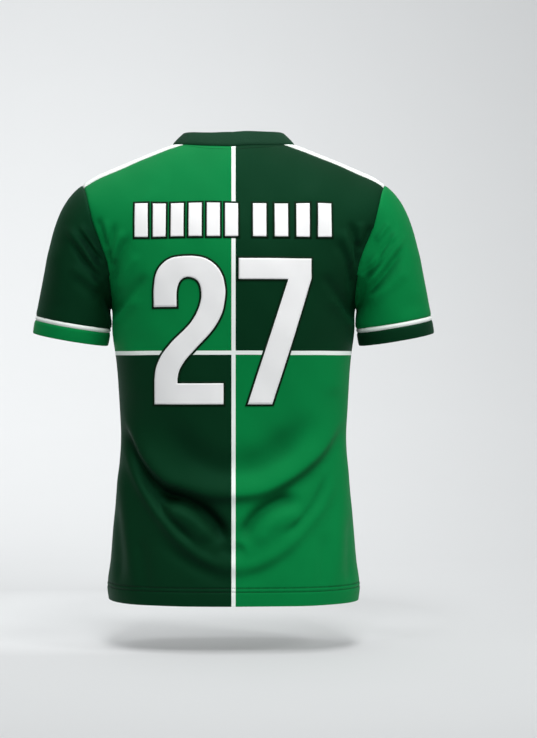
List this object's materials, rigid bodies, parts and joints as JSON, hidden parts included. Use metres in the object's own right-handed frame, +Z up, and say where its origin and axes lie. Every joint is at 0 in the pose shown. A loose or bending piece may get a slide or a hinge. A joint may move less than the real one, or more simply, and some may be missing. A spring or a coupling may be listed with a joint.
{
  "type": "football jersey",
  "caption": "Short-sleeved football jersey in green quarters with white stripes, tapes and shoulder bands, standing collar and a large back number, hollow as worn.",
  "frame": {"origin": "middle of the neck opening, level with the top of the shoulder seams at the neck, where the wearer's neck and shoulders hold the garment up", "axes": "+Z up, -Y out of the numbered back, +Y out of the plain front, -X towards the wearer's left sleeve"},
  "size_m": [0.6408, 0.2432, 0.7417],
  "materials": {
    "knit_back": "fine polyester knit, matt with a soft sheen, printed in dark and light green quarters with white cross stripes",
    "knit_front": "fine polyester knit, matt with a soft sheen, printed in dark and light green quarters with white cross stripes",
    "knit_light_green": "fine polyester knit, bright green, matt with a soft sheen",
    "knit_dark_green": "fine polyester knit, very dark green, matt with a soft sheen",
    "knit_white": "fine polyester knit, white, matt",
    "rib_dark_green": "knitted rib, dark green, matt",
    "transfer_white": "cut heat-pressed transfer, white with a dark edge, smooth and matt"
  },
  "bodies": {
    "root": {"back": "knit_back", "front": "knit_front", "shoulder_band_left": "knit_white", "shoulder_band_right": "knit_white", "sleeve_left": "knit_dark_green", "sleeve_right": "knit_light_green", "cuff_tape_left": "knit_white", "cuff_tape_right": "knit_white", "cuff_left": "knit_light_green", "cuff_right": "knit_dark_green", "collar": "rib_dark_green", "number_2": "transfer_white", "number_7": "transfer_white", "name_block_01": "transfer_white", "name_block_02": "transfer_white", "name_block_03": "transfer_white", "name_block_04": "transfer_white", "name_block_05": "transfer_white", "name_block_06": "transfer_white", "name_block_07": "transfer_white", "name_block_08": "transfer_white", "name_block_09": "transfer_white", "name_block_10": "transfer_white"}
  },
  "joints": []
}
